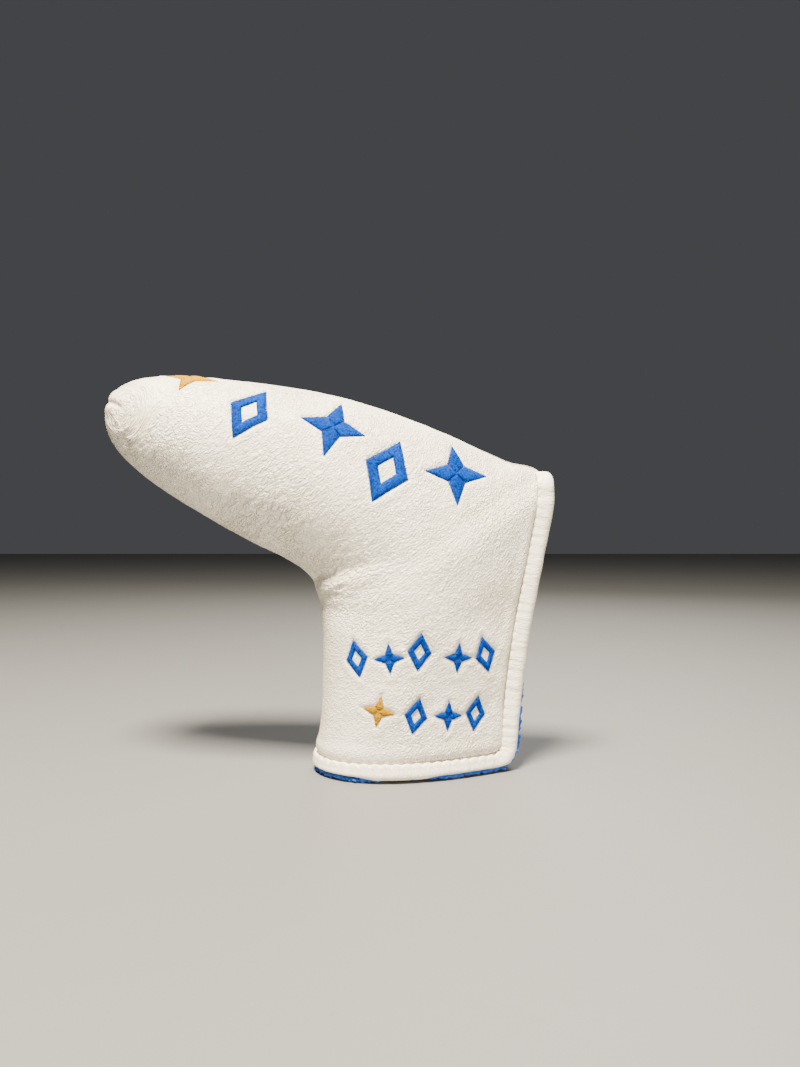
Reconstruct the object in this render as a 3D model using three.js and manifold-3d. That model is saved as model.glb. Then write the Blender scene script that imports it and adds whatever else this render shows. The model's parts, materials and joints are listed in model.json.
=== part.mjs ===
// A cover for a blade putter, shaped like an L: a tubular toe that holds the club head, and a leg that
// closes round the shaft. It stands on the hem of the leg. +X points to the heel, -Y to the decorated
// front, +Z up, and the origin is on the ground in the middle of the cover. All lengths are
// millimetres.
//
// Each side of the cover is a half shell of leather, padding and plush lining. The halves join along
// the fold over the top and along the seam under the toe and down the spine. They stay apart along the
// heel and the hem, where a rolled binding closes their edges. The two lower heel corners are flaps
// that bend away from the rest.
import * as THREE from "three";
import { mergeVertices } from "three/addons/utils/BufferGeometryUtils.js";
import Module from "manifold-3d";

const wasm = await Module();
wasm.setup();

// --------------------------------------------------------------------------------------- driving sizes
const LAYERS = {
  leather: { from: 0, to: 1.2, colour: 0xe8e1d6, roughness: 0.5 },
  padding: { from: 1.5, to: 3.5, colour: 0xd9d6c8, roughness: 0.95 },
  lining: { from: 3.8, to: 6.2, colour: 0x0f62d2, roughness: 1.0 },
};
const SEAM_GAP = 0.3; // between the front and the back half
const EDGE_SQUEEZE = 0.26; // share of the wall's thickness lost where it is sewn at an open edge
const FULL_BULGE = 22; // half depth of the toe
const BINDING = { width: 5, half: 2.7, gap: 0.3, chamfer: 1.2 };
const HEM_CORNER = 4; // radius of the panel's lower heel corner
const CAP = { low: 97.9, centre: 99.9, radius: 2.95 }; // the binding over the top of the heel opening
const FLAP_TOP = 96.7; // the flap's binding stops here, below the cap
const HINGE = { hem: [9, 0], heel: [76, 98.2], gap: 1.2 }; // x, z of the line along which a flap bends
const STITCH = { lift: 0.4, height: 0.9, step: 4.5 };
const TOPSTITCH = { inset: 1.3, lift: 0.3, width: 0.9, height: 0.5 }; // the thread line along the binding
const MAGNET = { radius: 5, thickness: 1, play: 0.4, inset: 8.5, heights: [20, 41, 62] };
const THREAD_COLOUR = { blue: 0x1557c0, gold: 0xf0a015 };

// Ribs run across the cover from the seam side (inner) to the fold or heel side (outer), as x and z in
// the middle plane, from the tip of the toe round the bend and down to the hem. bulge is the half depth
// of the rib, taper turns its section from an ellipse (0) to a teardrop that is slim at the heel (1),
// and edge is the outer end's distance from the middle plane. fold is 1 where the outer end is the
// fold, and 0 where it is the open heel edge.
const RIBS = [
  { inner: [-78.6, 131.2], outer: [-78.6, 131.2], bulge: 0, taper: 0, edge: 0, fold: 1 },
  { inner: [-79.8, 126.3], outer: [-76.0, 135.0], bulge: 4.8, taper: 0, edge: 0, fold: 1 },
  { inner: [-79.4, 120.6], outer: [-71.2, 137.7], bulge: 9.8, taper: 0, edge: 0, fold: 1 },
  { inner: [-76.4, 114.6], outer: [-63.6, 139.3], bulge: 14.3, taper: 0, edge: 0, fold: 1 },
  { inner: [-69.8, 107.3], outer: [-53.0, 139.7], bulge: 18.0, taper: 0, edge: 0, fold: 1 },
  { inner: [-58.3, 98.2], outer: [-39.6, 138.9], bulge: 20.6, taper: 0, edge: 0, fold: 1 },
  { inner: [-43.5, 88.9], outer: [-22.8, 137.1], bulge: 21.8, taper: 0, edge: 0, fold: 1 },
  { inner: [-28.5, 80.8], outer: [-3.0, 134.0], bulge: 22.0, taper: 0, edge: 0, fold: 1 },
  { inner: [-16.0, 74.6], outer: [19.0, 128.4], bulge: 21.8, taper: 0.1, edge: 0, fold: 1 },
  { inner: [-8.3, 68.6], outer: [41.5, 119.8], bulge: 21.4, taper: 0.3, edge: 0, fold: 1 },
  { inner: [-4.9, 61.5], outer: [61.5, 111.2], bulge: 20.8, taper: 0.6, edge: 0, fold: 1 },
  { inner: [-3.6, 54.5], outer: [74.0, 106.2], bulge: 20.2, taper: 0.9, edge: 1.2, fold: 0.8 },
  { inner: [-3.1, 48.0], outer: [74.3, 97.0], bulge: 20.0, taper: 1, edge: 5.0, fold: 0 },
  { inner: [-3.0, 41.0], outer: [72.1, 83.5], bulge: 19.8, taper: 1, edge: 5.0, fold: 0 },
  { inner: [-3.0, 34.0], outer: [69.4, 69.5], bulge: 19.6, taper: 1, edge: 5.0, fold: 0 },
  { inner: [-3.2, 27.0], outer: [66.7, 55.0], bulge: 19.4, taper: 1, edge: 5.0, fold: 0 },
  { inner: [-3.7, 20.0], outer: [64.3, 40.0], bulge: 19.2, taper: 1, edge: 5.0, fold: 0 },
  { inner: [-4.5, 13.0], outer: [62.4, 24.5], bulge: 19.0, taper: 1, edge: 5.0, fold: 0 },
  { inner: [-5.6, 5.3], outer: [60.9, 9.3], bulge: 19.0, taper: 1, edge: 5.0, fold: 0 },
];
const LAST = RIBS.length - 1;
const HEEL_START = 12; // the first rib that ends on the heel edge
const ROUND = [0, 17, 36, 56, 76, 97, 118, 138, 155, 169, 180].map(THREE.MathUtils.degToRad);

// Where each embroidered figure sits, as x and z on the front, with its tilt in degrees.
const FIGURES = [
  { name: "toe_star_gold", kind: "star", x: -48.5, z: 138.2, tilt: -20, size: 10, thread: "gold" },
  { name: "toe_lozenge_1", kind: "lozenge", x: -25.8, z: 124.6, tilt: -28, size: 11, thread: "blue" },
  { name: "toe_star_1", kind: "star", x: 2.1, z: 119.4, tilt: -18, size: 11.5, thread: "blue" },
  { name: "toe_lozenge_2", kind: "lozenge", x: 20.6, z: 104.3, tilt: -26, size: 12, thread: "blue" },
  { name: "toe_star_2", kind: "star", x: 44, z: 104, tilt: -4, size: 11.5, thread: "blue" },
  { name: "leg_lozenge_1", kind: "lozenge", x: 9.8, z: 42, tilt: 12, size: 6.5, thread: "blue" },
  { name: "leg_star_1", kind: "star", x: 20.6, z: 42.4, tilt: 4, size: 5.3, thread: "blue" },
  { name: "leg_lozenge_2", kind: "lozenge", x: 31, z: 44.4, tilt: -6, size: 6.5, thread: "blue" },
  { name: "leg_star_2", kind: "star", x: 43.8, z: 41.6, tilt: -4, size: 5.3, thread: "blue" },
  { name: "leg_lozenge_3", kind: "lozenge", x: 54, z: 42, tilt: 14, size: 6.5, thread: "blue" },
  { name: "leg_star_gold", kind: "star", x: 17.8, z: 24, tilt: -10, size: 5.6, thread: "gold" },
  { name: "leg_lozenge_4", kind: "lozenge", x: 30.2, z: 22.4, tilt: -12, size: 6.2, thread: "blue" },
  { name: "leg_star_3", kind: "star", x: 40.6, z: 22, tilt: -4, size: 5.3, thread: "blue" },
  { name: "leg_lozenge_5", kind: "lozenge", x: 50.8, z: 20.9, tilt: -8, size: 6.2, thread: "blue" },
];

// ------------------------------------------------------------------------------------ the cover's skin
// A Catmull-Rom curve through one number of each rib.
function along(s, pick) {
  const i = Math.min(Math.floor(s), LAST - 1);
  const f = s - i;
  const b = pick(RIBS[i]);
  const c = pick(RIBS[i + 1]);
  const a = i > 0 ? pick(RIBS[i - 1]) : 2 * b - c;
  const d = i + 2 <= LAST ? pick(RIBS[i + 2]) : 2 * c - b;
  return b + 0.5 * f * (c - a + f * (2 * a - 5 * b + 4 * c - d + f * (3 * (b - c) + d - a)));
}

function endPoint(s, side) {
  return new THREE.Vector2(
    along(s, (r) => r[side][0]),
    along(s, (r) => r[side][1]),
  );
}

// The unit vector that points into the cover from a rib's end, in the middle plane.
function inward(s, side) {
  const step = 0.02;
  const here = endPoint(Math.min(s + step, LAST), side).sub(endPoint(Math.max(s - step, 0), side));
  const turn = side === "inner" ? 1 : -1;
  return new THREE.Vector2(-here.y * turn, here.x * turn).normalize();
}

// At the tip both ends share one point, so their directions are drawn together there.
function inwardBlended(s, side) {
  const own = inward(s, side);
  if (s >= 1) return own;
  const other = inward(s, side === "inner" ? "outer" : "inner");
  return own
    .multiplyScalar(1 + s)
    .add(other.multiplyScalar(1 - s))
    .normalize();
}

// The rounding of the panel's lower heel corner, as a height above the hem line.
function cornerRise(distance) {
  const inCorner = Math.max(0, HEM_CORNER - distance);
  return HEM_CORNER - Math.sqrt(HEM_CORNER ** 2 - inCorner ** 2);
}

// A point of the front half, depth under its outer surface: s runs from the toe's tip (0) to the hem
// (LAST), and turn from the seam side (0) to the fold or the heel edge (pi). Past pi it goes over the
// fold to the back.
function skin(s, turn, depth) {
  const nearHem = THREE.MathUtils.smoothstep(s, LAST - 1.6, LAST);
  const wall = depth * (1 - EDGE_SQUEEZE * nearHem);
  const fold = THREE.MathUtils.clamp(
    along(s, (r) => r.fold),
    0,
    1,
  );
  const inner = endPoint(s, "inner").addScaledVector(inwardBlended(s, "inner"), wall);
  const outer = endPoint(s, "outer").addScaledVector(inwardBlended(s, "outer"), wall * fold);
  const share = (1 - Math.cos(turn)) / 2;
  const point = inner.clone().lerp(outer, share);

  const towardsHem = THREE.MathUtils.clamp(s - (LAST - 1), 0, 1);
  const hemLine = inner.y + cornerRise((1 - share) * (outer.x - inner.x));
  point.y += towardsHem * (hemLine - THREE.MathUtils.lerp(inner.y, outer.y, share));

  const taper = Math.max(
    0,
    along(s, (r) => r.taper),
  );
  const peak = 2 * Math.sqrt(1 / (2 + taper)) * ((1 + taper) / (2 + taper)) ** ((1 + taper) / 2);
  const round = (Math.sin(turn) * Math.abs(Math.cos(turn / 2)) ** taper) / peak;
  const bulge = along(s, (r) => r.bulge) * (1 - wall / FULL_BULGE);
  const edge = Math.max(
    0,
    along(s, (r) => r.edge),
  );
  const edgeHere = Math.max(edge - depth * (1 - EDGE_SQUEEZE), 0) * share ** 2;
  const side = turn > Math.PI ? -1 : 1;
  return new THREE.Vector3(point.x, -(bulge * round + side * (edgeHere + SEAM_GAP / 2)), point.y);
}

// --------------------------------------------------------------------------------------- making solids
// A closed geometry from points and triangles: equal points are merged, and it faces outwards.
function closed(points, triangles) {
  const loose = new THREE.BufferGeometry().setFromPoints(points).setIndex(triangles.flat());
  const merged = mergeVertices(loose, 1e-3);
  const index = [];
  for (let i = 0; i < merged.index.count; i += 3) {
    const [a, b, c] = [0, 1, 2].map((k) => merged.index.getX(i + k));
    if (a !== b && b !== c && a !== c) index.push([a, b, c]);
  }
  const at = (i) => new THREE.Vector3().fromBufferAttribute(merged.attributes.position, i);
  const volume = index.reduce((sum, [a, b, c]) => sum + at(a).dot(at(b).cross(at(c))) / 6, 0);
  merged.setIndex(index.map(([a, b, c]) => (volume < 0 ? [a, c, b] : [a, b, c])).flat());
  return merged;
}

// A thin solid between two grids of points with the same rows and columns.
function shell(outer, inner) {
  const rows = outer.length;
  const columns = outer[0].length;
  const points = [...outer.flat(), ...inner.flat()];
  const at = (layer, i, j) => layer * rows * columns + i * columns + j;
  const triangles = [];
  const quad = (a, b, c, d) => triangles.push([a, b, c], [a, c, d]);
  for (let i = 0; i + 1 < rows; i++) {
    for (let j = 0; j + 1 < columns; j++) {
      quad(at(0, i, j), at(0, i + 1, j), at(0, i + 1, j + 1), at(0, i, j + 1));
      quad(at(1, i, j), at(1, i, j + 1), at(1, i + 1, j + 1), at(1, i + 1, j));
    }
    const far = columns - 1;
    quad(at(0, i + 1, 0), at(0, i, 0), at(1, i, 0), at(1, i + 1, 0));
    quad(at(0, i, far), at(0, i + 1, far), at(1, i + 1, far), at(1, i, far));
  }
  for (let j = 0; j + 1 < columns; j++) {
    const end = rows - 1;
    quad(at(0, 0, j), at(0, 0, j + 1), at(1, 0, j + 1), at(1, 0, j));
    quad(at(0, end, j + 1), at(0, end, j), at(1, end, j), at(1, end, j + 1));
  }
  return closed(points, triangles);
}

// A bar with a convex section swept through frames, each an origin with the directions out of the
// wall's edge and across the wall.
function sweep(frames, section) {
  const points = frames.flatMap((f) =>
    section.map(([d, n]) => f.origin.clone().addScaledVector(f.out, d).addScaledVector(f.across, n)),
  );
  const m = section.length;
  const triangles = [];
  for (let i = 0; i + 1 < frames.length; i++) {
    for (let j = 0; j < m; j++) {
      const k = (j + 1) % m;
      const [a, b] = [i * m, (i + 1) * m];
      triangles.push([a + j, b + j, b + k], [a + j, b + k, a + k]);
    }
  }
  const last = (frames.length - 1) * m;
  for (let j = 1; j + 1 < m; j++) triangles.push([0, j, j + 1], [last, last + j + 1, last + j]);
  return closed(points, triangles);
}

function solid(geometry) {
  const bare = new THREE.BufferGeometry().setAttribute("position", geometry.attributes.position.clone());
  bare.setIndex(geometry.index ? geometry.index.clone() : null);
  const merged = mergeVertices(bare, 1e-3);
  return new wasm.Manifold(
    new wasm.Mesh({
      numProp: 3,
      vertProperties: Float32Array.from(merged.attributes.position.array),
      triVerts: Uint32Array.from(merged.index.array),
    }),
  );
}

function geometryOf(manifold) {
  const mesh = manifold.getMesh();
  return new THREE.BufferGeometry()
    .setAttribute("position", new THREE.BufferAttribute(Float32Array.from(mesh.vertProperties), 3))
    .setIndex(new THREE.BufferAttribute(Uint32Array.from(mesh.triVerts), 1));
}

function mirrored(geometry) {
  const other = geometry.clone().scale(1, -1, 1);
  const index = other.index.array;
  for (let i = 0; i < index.length; i += 3) {
    [index[i + 1], index[i + 2]] = [index[i + 2], index[i + 1]];
  }
  return other;
}

// The half of space on one side of the upright plane through the hinge line.
function halfSpace(flapSide) {
  const size = 500;
  const line = new THREE.Vector2(...HINGE.heel).sub(new THREE.Vector2(...HINGE.hem)).normalize();
  const toFlap = new THREE.Vector3(line.y, 0, -line.x);
  const sign = flapSide ? 1 : -1;
  const box = new THREE.BoxGeometry(size, size, size);
  box.rotateY(Math.atan2(line.x, line.y));
  const middle = new THREE.Vector3(HINGE.hem[0], 0, HINGE.hem[1]).addScaledVector(
    toFlap,
    sign * (size / 2 + HINGE.gap / 2),
  );
  return solid(box.translate(middle.x, middle.y, middle.z));
}

const rootSpace = halfSpace(false);
const flapSpace = halfSpace(true);

// ------------------------------------------------------------------------------------------ the pieces
const cover = new THREE.Group();

function add(name, geometry, colour, roughness) {
  const material = new THREE.MeshStandardMaterial({ color: colour, roughness, metalness: 0 });
  const mesh = new THREE.Mesh(geometry, material);
  mesh.name = name;
  cover.add(mesh);
}

// Adds a front solid and its mirror image at the back.
function addPair(name, manifold, colour, roughness) {
  const front = geometryOf(manifold);
  add(`front_${name}`, front, colour, roughness);
  add(`back_${name}`, mirrored(front), colour, roughness);
}

function layerShell({ from, to }) {
  const grid = (depth) => RIBS.map((_, s) => ROUND.map((turn) => skin(s, turn, depth)));
  return solid(shell(grid(from), grid(to)));
}

// The point and the directions of the skin at s and turn: up the cover, to the right on the front, and
// outwards.
function tangentFrame(s, turn) {
  const step = 0.01;
  const bySkin = (ds, dt) => skin(s + ds, turn + dt, 0).sub(skin(s - ds, turn - dt, 0));
  const alongRibs = bySkin(step, 0).divideScalar(2 * step);
  const alongTurn = bySkin(0, step).divideScalar(2 * step);
  const out = alongTurn.clone().cross(alongRibs).normalize();
  if (out.y > 0) out.negate();
  const up = new THREE.Vector3(0, 0, 1);
  up.addScaledVector(out, -up.dot(out)).normalize();
  const right = up.clone().cross(out);
  return { alongRibs, alongTurn, out, up, right };
}

// The skin coordinates nearest to a point, by Newton steps from a start close to them.
function nearest(target, s, turn) {
  for (let i = 0; i < 8; i++) {
    const { alongRibs: a, alongTurn: b } = tangentFrame(s, turn);
    const off = target.clone().sub(skin(s, turn, 0));
    const [aa, ab, bb, ao, bo] = [a.dot(a), a.dot(b), b.dot(b), a.dot(off), b.dot(off)];
    const det = aa * bb - ab * ab;
    s += (bb * ao - ab * bo) / det;
    turn += (aa * bo - ab * ao) / det;
  }
  return { s, turn };
}

// The skin coordinates of the point of the front at x, z.
function locate(x, z) {
  let best = { s: 1, turn: 1, far: Infinity };
  for (let s = 1; s < LAST; s += 0.1) {
    for (let turn = 0.2; turn < 3.1; turn += 0.05) {
      const p = skin(s, turn, 0);
      const far = Math.hypot(p.x - x, p.z - z);
      if (far < best.far) best = { s, turn, far };
    }
  }
  const y = skin(best.s, best.turn, 0).y;
  return nearest(new THREE.Vector3(x, y, z), best.s, best.turn);
}

function addLayers() {
  for (const [name, layer] of Object.entries(LAYERS)) {
    const whole = layerShell(layer);
    const flap = flapSpace.intersect(whole);
    addPair(`${name}_body`, rootSpace.intersect(whole), layer.colour, layer.roughness);
    addPair(`flap_${name}`, name === "padding" ? withMagnetHoles(flap) : flap, layer.colour, layer.roughness);
  }
}

// Where the magnets lie, in the middle of the padding beside the heel edge.
function magnetPlaces() {
  const depth = (LAYERS.padding.from + LAYERS.padding.to) / 2;
  return MAGNET.heights.map((height) => {
    const edge = RIBS.findLast((r) => r.outer[1] > height).outer[0];
    const { s, turn } = locate(edge - MAGNET.inset, height);
    return { centre: skin(s, turn, depth), out: tangentFrame(s, turn).out };
  });
}

function disc(place, radius, thickness) {
  const turn = new THREE.Quaternion().setFromUnitVectors(new THREE.Vector3(0, 1, 0), place.out);
  const geometry = new THREE.CylinderGeometry(radius, radius, thickness, 20).applyQuaternion(turn);
  return geometry.translate(place.centre.x, place.centre.y, place.centre.z);
}

function withMagnetHoles(padding) {
  return magnetPlaces().reduce(
    (rest, place) => rest.subtract(solid(disc(place, MAGNET.radius + MAGNET.play, 6))),
    padding,
  );
}

function addMagnets() {
  magnetPlaces().forEach((place, i) => {
    const magnet = disc(place, MAGNET.radius, MAGNET.thickness);
    addPair(`magnet_${i + 1}`, solid(magnet), 0x9a9da0, 0.3);
  });
}

// The middle of the wall along the open edge of the front half: the hem from the spine to the corner,
// then the heel edge up to the flap's top.
function edgeMiddles() {
  const inside = LAYERS.lining.to;
  const middle = (s, turn) => {
    const outer = skin(s, turn, 0);
    const inner = skin(s, turn, inside);
    return { origin: outer.clone().add(inner).divideScalar(2), across: outer.sub(inner).normalize() };
  };
  const hem = ROUND.map((turn) => middle(LAST, turn));
  hem[0].origin.y = 0;
  hem[0].across.set(-1, 0, 0);
  const heel = [];
  for (let s = LAST - 0.5; s > HEEL_START - 0.05; s -= 0.5) heel.push(middle(s, Math.PI));
  return [...hem, ...heel];
}

function withOutDirections(frames) {
  return frames.map(({ origin, across }, i) => {
    const before = frames[Math.max(i - 1, 0)].origin;
    const after = frames[Math.min(i + 1, frames.length - 1)].origin;
    const tangent = after.clone().sub(before);
    if (i === 0) tangent.set(0, -1, 0);
    const out = tangent.clone().cross(across).normalize();
    return { origin, across: out.clone().cross(tangent).normalize(), out };
  });
}

function bindingSection() {
  const { width, half, gap, chamfer } = BINDING;
  return [
    [gap, -half + chamfer / 2],
    [gap + chamfer, -half],
    [gap + width - chamfer, -half],
    [gap + width, -half + chamfer],
    [gap + width, half - chamfer],
    [gap + width - chamfer, half],
    [gap + chamfer, half],
    [gap, half - chamfer / 2],
  ];
}

function topstitchSection() {
  const [d, n] = [BINDING.gap + TOPSTITCH.inset, BINDING.half + TOPSTITCH.lift];
  return [
    [d, n],
    [d + TOPSTITCH.width, n],
    [d + TOPSTITCH.width, n + TOPSTITCH.height],
    [d, n + TOPSTITCH.height],
  ];
}

// The hem part of the bar stands flat on the ground.
function flattened(geometry) {
  const p = geometry.attributes.position;
  for (let i = 0; i < p.count; i++) p.setZ(i, p.getZ(i) < 0.6 ? 0 : p.getZ(i));
  return geometry;
}

// Adds a bar that runs round the open edge in four pieces: round the spine, on each flap, and over the
// heel's top.
function addEdging(name, section, colour, roughness) {
  const bar = solid(flattened(sweep(withOutDirections(edgeMiddles()), section)));
  const below = (top) => solid(new THREE.BoxGeometry(400, 400, 400).translate(0, 0, top - 200));
  const spineHalf = rootSpace.intersect(bar).intersect(below(FLAP_TOP / 2));
  const spine = spineHalf.add(solid(mirrored(geometryOf(spineHalf))));
  add(`spine_${name}`, geometryOf(spine), colour, roughness);
  addPair(`flap_${name}`, flapSpace.intersect(bar).intersect(below(FLAP_TOP)), colour, roughness);
  const cap = sweep(heelCapFrames(), section);
  add(`heel_top_${name}`, name === "binding" ? geometryOf(solid(cap).hull()) : cap, colour, roughness);
}

// The edging crosses from the front edge to the back edge over the top of the heel opening.
function heelCapFrames() {
  const { low, centre, radius } = CAP;
  const x = (z) => {
    const [a, b] = [RIBS[HEEL_START], RIBS[HEEL_START - 1]];
    return THREE.MathUtils.mapLinear(z, a.outer[1], b.outer[1], a.outer[0], b.outer[0]);
  };
  const out = new THREE.Vector3(1, 0, 0);
  const leg = (side) => {
    const origin = new THREE.Vector3(x(low), side * radius, low);
    return { origin, out, across: new THREE.Vector3(0, side, 0) };
  };
  const arc = [0, 30, 60, 90, 120, 150, 180].map((degrees) => {
    const a = THREE.MathUtils.degToRad(degrees);
    const across = new THREE.Vector3(0, -Math.cos(a), Math.sin(a));
    const z = centre + radius * across.z;
    return { origin: new THREE.Vector3(x(z), radius * across.y, z), out, across };
  });
  return [leg(-1), ...arc, leg(1)];
}

// ------------------------------------------------------------------------------------------ embroidery
// Points added along an outline, so that it can follow a curved surface.
function refined(corners, step = STITCH.step) {
  return corners.flatMap((a, i) => {
    const b = corners[(i + 1) % corners.length];
    const n = Math.ceil(a.distanceTo(b) / step);
    return Array.from({ length: n }, (_, k) => a.clone().lerp(b, k / n));
  });
}

function lozenge(size) {
  const corners = (w, h) => [
    new THREE.Vector2(0, h),
    new THREE.Vector2(-w, 0),
    new THREE.Vector2(0, -h),
    new THREE.Vector2(w, 0),
  ];
  const outline = new THREE.Shape(refined(corners(0.66 * size, size)));
  outline.holes.push(new THREE.Path(refined(corners(0.28 * size, 0.43 * size).reverse())));
  return outline;
}

function star(size) {
  const corners = Array.from({ length: 8 }, (_, i) => {
    const reach = i % 2 ? 0.3 * size : size;
    const a = Math.PI / 2 + (i * Math.PI) / 4;
    return new THREE.Vector2(reach * Math.cos(a), reach * Math.sin(a));
  });
  return new THREE.Shape(refined(corners));
}

// Lays a flat figure on the skin round its place.
function embroider({ kind, x, z, tilt, size }) {
  const { s, turn } = locate(x, z);
  const { up, right } = tangentFrame(s, turn);
  const centre = skin(s, turn, 0);
  const shape = kind === "star" ? star(size) : lozenge(size);
  const flat = new THREE.ExtrudeGeometry(shape, { depth: STITCH.height, bevelEnabled: false, steps: 1 });
  flat.rotateZ(THREE.MathUtils.degToRad(tilt));
  const p = flat.attributes.position;
  const points = Array.from({ length: p.count }, (_, i) => {
    const flatPoint = centre.clone().addScaledVector(right, p.getX(i)).addScaledVector(up, p.getY(i));
    const on = nearest(flatPoint, s, turn);
    return skin(on.s, on.turn, -(STITCH.lift + p.getZ(i)));
  });
  const triangles = Array.from({ length: p.count / 3 }, (_, i) => [3 * i, 3 * i + 1, 3 * i + 2]);
  return closed(points, triangles);
}

addLayers();
addMagnets();
addEdging("binding", bindingSection(), LAYERS.leather.colour, LAYERS.leather.roughness);
addEdging("topstitch", topstitchSection(), 0xf1ece2, 0.6);
for (const figure of FIGURES) {
  add(figure.name, embroider(figure), THREAD_COLOUR[figure.thread], 0.45);
}

export default cover;
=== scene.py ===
"""A cover for a blade putter, standing on the hem of its leg: white leather, padding and blue plush, with a
rolled binding round its open edge and embroidered figures. Lengths are in millimetres unless said otherwise."""

import json
import math
from functools import cache

import bpy
import numpy as np
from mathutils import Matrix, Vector
from mathutils.bvhtree import BVHTree


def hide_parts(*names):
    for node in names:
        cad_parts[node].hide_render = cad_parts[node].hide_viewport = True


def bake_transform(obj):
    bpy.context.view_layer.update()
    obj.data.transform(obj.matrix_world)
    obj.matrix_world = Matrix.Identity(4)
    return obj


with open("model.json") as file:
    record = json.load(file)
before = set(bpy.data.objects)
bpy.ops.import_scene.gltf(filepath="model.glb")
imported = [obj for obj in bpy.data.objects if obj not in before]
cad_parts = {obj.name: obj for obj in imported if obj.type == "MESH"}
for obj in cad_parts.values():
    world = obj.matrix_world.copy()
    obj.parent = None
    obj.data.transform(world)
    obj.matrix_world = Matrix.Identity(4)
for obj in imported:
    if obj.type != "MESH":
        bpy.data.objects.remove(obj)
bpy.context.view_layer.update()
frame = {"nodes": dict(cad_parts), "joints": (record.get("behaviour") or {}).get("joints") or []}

MM = 0.001

# -------------------- the cover's form
# The cover's sections, or ribs, from the tip of the toe round to the hem. Each runs from the seam side to the
# fold, or to the heel edge: inner x, inner z, outer x, outer z, half depth, taper toward the outer end, half
# opening there, and 1 there if the two sides meet in a fold.
RIBS = np.array([
    (-78.6, 131.2, -78.6, 131.2, 0.0, 0.0, 0.0, 1.0),
    (-79.8, 126.3, -76.0, 135.0, 4.8, 0.0, 0.0, 1.0),
    (-79.4, 120.6, -71.2, 137.7, 9.8, 0.0, 0.0, 1.0),
    (-76.4, 114.6, -63.6, 139.3, 14.3, 0.0, 0.0, 1.0),
    (-69.8, 107.3, -53.0, 139.7, 18.0, 0.0, 0.0, 1.0),
    (-58.3, 98.2, -39.6, 138.9, 20.6, 0.0, 0.0, 1.0),
    (-43.5, 88.9, -22.8, 137.1, 21.8, 0.0, 0.0, 1.0),
    (-28.5, 80.8, -3.0, 134.0, 22.0, 0.0, 0.0, 1.0),
    (-16.0, 74.6, 19.0, 128.4, 21.8, 0.1, 0.0, 1.0),
    (-8.3, 68.6, 41.5, 119.8, 21.4, 0.3, 0.0, 1.0),
    (-4.9, 61.5, 61.5, 111.2, 20.8, 0.6, 0.0, 1.0),
    (-3.6, 54.5, 74.0, 106.2, 20.2, 0.9, 0.0, 0.8),
    (-3.1, 48.0, 74.3, 97.0, 20.0, 1.0, 5.0, 0.0),
    (-3.0, 41.0, 72.1, 83.5, 19.8, 1.0, 5.0, 0.0),
    (-3.0, 34.0, 69.4, 69.5, 19.6, 1.0, 5.0, 0.0),
    (-3.2, 27.0, 66.7, 55.0, 19.4, 1.0, 5.0, 0.0),
    (-3.7, 20.0, 64.3, 40.0, 19.2, 1.0, 5.0, 0.0),
    (-4.5, 13.0, 62.4, 24.5, 19.0, 1.0, 5.0, 0.0),
    (-5.6, 5.3, 60.9, 9.3, 19.0, 1.0, 5.0, 0.0),
])
LAST = len(RIBS) - 1
HEEL_START = 12  # the first rib that ends on the heel edge
FOLD_OPENS = (11.3, 11.6)  # between these ribs the fold opens into the heel edge
HEEL_EDGE_FROM = 11.4  # the leather is free at its outer end from about here on
INNER, OUTER, BULGE, TAPER, EDGE, FOLD = slice(0, 2), slice(2, 4), 4, 5, 6, 7
FULL_BULGE = 22.0
HEM_CORNER = 4.0
WALL = 6.2  # leather, padding and lining together
EDGE_SQUEEZE = 0.26  # share of that lost where the wall is sewn at an open edge
PADDING_DEPTHS = (1.5, 3.2)  # how far under the skin the padding's two faces lie
LINING_DEPTHS = (3.5, 4.6)
HEM_TOP = 8  # the open edge is the hem up to this height, and the heel over it
GROUND_GAP = 0.05  # the lowest that the binding and the pile reach
FACING_GAP = 0.04  # kept between the middle plane and what could reach over it
CAP_CENTRE, CAP_RADIUS = 99.9, 2.95  # the binding's turn over the top of the heel opening
SIDES = ("front", "back")


def smooth(low, high, x):
    """0 up to low and 1 from high on, with a soft step between them."""
    t = np.clip((x - low) / (high - low), 0, 1)
    return t * t * (3 - 2 * t)


def bump(x, centre, width):
    """A bell of height 1 round a centre."""
    return np.exp(-(((x - centre) / width) ** 2))


def spline(a, b, c, d, f):
    """A Catmull-Rom curve from b, where f is 0, to c, where it is 1. a and d are the points beyond them."""
    return b + 0.5 * f * (c - a + f * (2 * a - 5 * b + 4 * c - d + f * (3 * (b - c) + d - a)))


def along(s, column):
    """A smooth curve through one column of the ribs."""
    i = np.clip(np.floor(s).astype(int), 0, LAST - 1)
    b, c = RIBS[i, column], RIBS[i + 1, column]
    a = np.where(i > 0, RIBS[np.maximum(i - 1, 0), column], 2 * b - c)
    d = np.where(i + 2 <= LAST, RIBS[np.minimum(i + 2, LAST), column], 2 * c - b)
    return spline(a, b, c, d, s - i)


def end_point(s, side):
    """The inner or the outer end of a rib, as x and z."""
    return np.stack([along(s, side.start), along(s, side.start + 1)], axis=-1)


def closed_at(s):
    """Whether the two sides meet at a rib's outer end."""
    return along(s, EDGE) < 0.05


def unit(v):
    return v / np.maximum(np.linalg.norm(v, axis=-1, keepdims=True), 1e-12)


def inward(s, side):
    """The direction into the cover from a rib's end, in the middle plane. At the tip both ends share it."""
    step = 0.02
    low, high = np.maximum(s - step, 0), np.minimum(s + step, LAST)

    def own(which):
        here = end_point(high, which) - end_point(low, which)
        turn = 1 if which is INNER else -1
        return unit(np.stack([-here[..., 1] * turn, here[..., 0] * turn], axis=-1))

    share = np.clip(0.5 + 0.5 * s, 0.5, 1)[..., None]
    other = OUTER if side is INNER else INNER
    return unit(own(side) * share + own(other) * (1 - share))


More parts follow.
